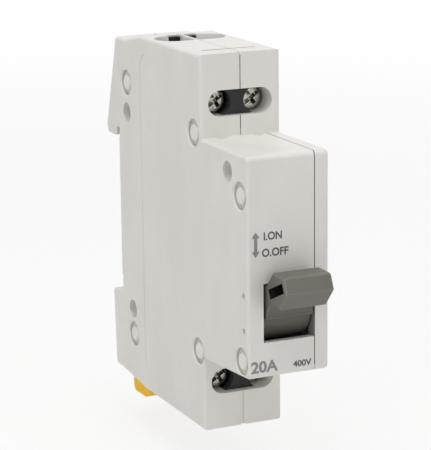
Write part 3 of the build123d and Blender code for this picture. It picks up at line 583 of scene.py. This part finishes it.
def thread_tree():
    """Geometry nodes: a screw's thread as a fine ridge wound round its shank, joined to its head."""
    tree = bpy.data.node_groups.new("wound_thread", "GeometryNodeTree")
    for name, kind in THREAD_INPUTS.items():
        tree.interface.new_socket(name, in_out="INPUT", socket_type="NodeSocket" + kind)
    tree.interface.new_socket("Screw", in_out="OUTPUT", socket_type="NodeSocketGeometry")
    board = Board(tree)
    given = {name: board.add("NodeGroupInput", out=name) for name in THREAD_INPUTS}

    spiral = board.add("GeometryNodeCurveSpiral", None, {
        "Resolution": THREAD_STEPS, "Rotations": given["Turns"], "Start Radius": given["Shank Radius"],
        "End Radius": given["Shank Radius"], "Height": given["Turns"] * given["Pitch"]})
    ridge = board.add("GeometryNodeCurvePrimitiveCircle", None, {
        "Resolution": RIDGE_SIDES, "Radius": given["Thread Depth"]})
    wound = board.add("GeometryNodeCurveToMesh", None, {
        "Curve": spiral, "Profile Curve": ridge, "Fill Caps": True})
    lift = board.add("ShaderNodeCombineXYZ", None, {"Z": given["Start"]})
    placed = board.add("GeometryNodeTransform", None, {"Geometry": wound, "Translation": lift})
    joined = board.add("GeometryNodeJoinGeometry", None, {"Geometry": [placed, given["Screw"]]})
    real = board.add("GeometryNodeRealizeInstances", None, {"Geometry": joined})
    finished = board.add("GeometryNodeSetMaterial", None, {"Geometry": real, "Material": given["Finish"]})
    board.add("NodeGroupOutput", None, {"Screw": finished})
    return tree


def with_modifier(carrier, tree, values):
    """The plain mesh that a geometry tree makes on an object, with the modifier taken off again."""
    modifier = carrier.modifiers.new(tree.name, "NODES")
    modifier.node_group = tree
    sockets = {item.name: item.identifier for item in tree.interface.items_tree if item.in_out == "INPUT"}
    for name, value in values.items():
        modifier[sockets[name]] = value
    mesh = plain_mesh(carrier)
    carrier.modifiers.remove(modifier)
    return mesh


def screw_mesh(name, tree):
    """One screw where its node is, with its head's face at the node's front and its point at the back."""
    low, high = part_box(name)
    length = high.y - low.y
    waist = SHANK_RADIUS - THREAD_DEPTH
    # From the middle of its face over the rounded rim, down the head and the shank to the point
    form = turned([
        (0, 0),
        (HEAD_RADIUS * HEAD_FLAT_SHARE, 0),
        (HEAD_RADIUS - HEAD_RIM, -HEAD_DISH),
        (HEAD_RADIUS - 0.3 * HEAD_RIM, -HEAD_RIM * 0.5),
        (HEAD_RADIUS, -HEAD_RIM * 1.2),
        (HEAD_RADIUS, -HEAD_HEIGHT + HEAD_FOOT),
        (HEAD_RADIUS - HEAD_FOOT, -HEAD_HEIGHT),
        (waist, -HEAD_HEIGHT),
        (waist, -length + POINT_LENGTH),
        (waist - POINT_TAPER, -length),
        (0, -length),
    ])
    screw = as_object(name + "_form", as_mesh(name + "_form", form))
    cutter = as_object(name + "_cutter", as_mesh(name + "_cutter", recess_cutter()))
    cut = screw.modifiers.new("recess", "BOOLEAN")
    cut.object = cutter
    cut.solver = "EXACT"
    cut.use_self = True
    cut_mesh = plain_mesh(screw)
    screw.modifiers.clear()
    screw.data = closed_up(cut_mesh, SCREW_MERGE)
    mesh = with_modifier(screw, tree, {
        "Shank Radius": waist, "Pitch": PITCH, "Thread Depth": THREAD_DEPTH,
        "Turns": (length - HEAD_HEIGHT - THREAD_END_GAPS) / PITCH,
        "Start": -length + POINT_LENGTH, "Finish": finishes["screw"]})
    bpy.data.objects.remove(screw)
    bpy.data.objects.remove(cutter)
    middle = (low + high) / 2
    stand = Matrix.Translation((middle.x, low.y, middle.z)) @ Matrix.Rotation(math.pi / 2, 4, "X")
    mesh.transform(stand @ Matrix.Rotation(SCREW_TURN, 4, "Z"))
    return mesh


thread = thread_tree()
for level in ("upper", "lower"):
    for side in ("left", "right"):
        node = f"terminal_screw_{level}_{side}"
        mesh = screw_mesh(node, thread)
        screw = add_piece(f"turned_screw_{level}_{side}", mesh, finishes["screw"], node)
        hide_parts(node)


# Studio: a pale floor that stays white behind the part and keeps its soft shadow, and a white surround
def seen_white(board):
    """1 for rays that should find plain white: the camera's own, and those seen in gloss or through glass."""
    camera, gloss, glass = (
        board.add("ShaderNodeLightPath", out=ray)
        for ray in ("Is Camera Ray", "Is Glossy Ray", "Is Transmission Ray")
    )
    return camera.maths("MAXIMUM", gloss).maths("MAXIMUM", glass)


# How white the floor is seen, near the part and from there out, with the radii in metres
FLOOR_WHITE_FROM, FLOOR_WHITE_TO = 0.2, 0.7
FLOOR_WHITE_NEAR, FLOOR_WHITE_FAR = 0.8, 1.0

paper = Finish("studio_floor_paper")
fibre = paper.noise(3.0, detail=3.0, roughness=0.6)
paper_colour = paper.blend(fibre.ramp(0.3, 0.7), PAPER, PAPER_FIBRE)
matt = paper.add("ShaderNodeBsdfDiffuse", None, {"Color": paper_colour})
glow = paper.add("ShaderNodeEmission", None, {"Color": PLAIN_WHITE, "Strength": 1.0})
from_middle = paper.add("ShaderNodeVectorMath", {"operation": "LENGTH"}, {0: paper.place()}, out="Value")
whiten = seen_white(paper) * from_middle.ramp(
    FLOOR_WHITE_FROM, FLOOR_WHITE_TO, FLOOR_WHITE_NEAR, FLOOR_WHITE_FAR)
mixed = paper.add("ShaderNodeMixShader", None, {0: whiten, 1: matt, 2: glow})
paper.add("ShaderNodeOutputMaterial", None, {"Surface": mixed})

# The part hangs on its rail, so the floor lies lower than the rail clip comes when it is pulled down
FLOOR_DROP = 5.5 * MM
FLOOR_HALF = 1.5

floor_level = cad_box[0].z - FLOOR_DROP
floor_mesh = bpy.data.meshes.new("studio_floor")
floor_corners = [(-1, -1), (1, -1), (1, 1), (-1, 1)]
floor_mesh.from_pydata(
    [(x * FLOOR_HALF, y * FLOOR_HALF, floor_level) for x, y in floor_corners], [], [(0, 1, 2, 3)])
floor_mesh.materials.append(paper.owner)
floor = as_object("studio_floor", floor_mesh)

SKY_LEVEL = 0.34

surround = Finish("studio_surround", bpy.data.worlds)
bpy.context.scene.world = surround.owner
sky_level = seen_white(surround) * (1 - SKY_LEVEL) + SKY_LEVEL
sky = surround.add("ShaderNodeBackground", None, {"Color": PLAIN_WHITE, "Strength": sky_level})
surround.add("ShaderNodeOutputWorld", None, {"Surface": sky})


# Softboxes, all aimed at the part's middle: place and size in metres, and power in watts
LIT_MIDDLE = Vector((0.0, -0.03, 0.0))
SOFTBOXES = (
    ("overhead_softbox", (-0.1, -0.15, 0.75), (0.6, 0.6), 3.6),
    ("left_softbox", (-0.75, -0.35, 0.35), (0.5, 0.7), 1.6),
    ("front_softbox", (0.25, -0.85, 0.25), (0.5, 0.5), 1.1),
    ("right_back_softbox", (0.7, 0.45, 0.35), (0.5, 0.6), 1.3),
)

for name, where, (wide, tall), watts in SOFTBOXES:
    lamp = bpy.data.lights.new(name, "AREA")
    lamp.shape = "RECTANGLE"
    lamp.size, lamp.size_y = wide, tall
    lamp.energy = watts
    holder = as_object(name, lamp)
    holder.location = where
    holder.rotation_euler = (LIT_MIDDLE - Vector(where)).to_track_quat("-Z", "Y").to_euler()


# Camera, at the photograph's viewing angle
AZIMUTH = math.radians(-24.59)
ELEVATION = math.radians(13.26)
ROLL = math.radians(-0.70)
DISTANCE = 0.4251
TARGET = Vector((0.54, -30.0, 0.67)) * MM
FOCAL_PIXELS = 1996.0
IMAGE_HEIGHT = 450.0
SENSOR = 36.0
NEAREST_SEEN = 0.01

back = Vector((
    math.sin(AZIMUTH) * math.cos(ELEVATION),
    -math.cos(AZIMUTH) * math.cos(ELEVATION),
    math.sin(ELEVATION),
))
right = Vector((math.cos(AZIMUTH), math.sin(AZIMUTH), 0.0))
up = back.cross(right)
across = right * math.cos(ROLL) + up * math.sin(ROLL)
upward = up * math.cos(ROLL) - right * math.sin(ROLL)
pose = Matrix((across, upward, back)).transposed().to_4x4()
pose.translation = TARGET + back * DISTANCE

lens = bpy.data.cameras.new("studio_camera")
lens.sensor_width = SENSOR
lens.lens = FOCAL_PIXELS / IMAGE_HEIGHT * SENSOR
lens.clip_start = NEAREST_SEEN
camera = as_object("studio_camera", lens)
camera.matrix_world = pose
bpy.context.scene.camera = camera
bpy.context.scene.view_settings.view_transform = "Standard"

bpy.context.view_layer.update()
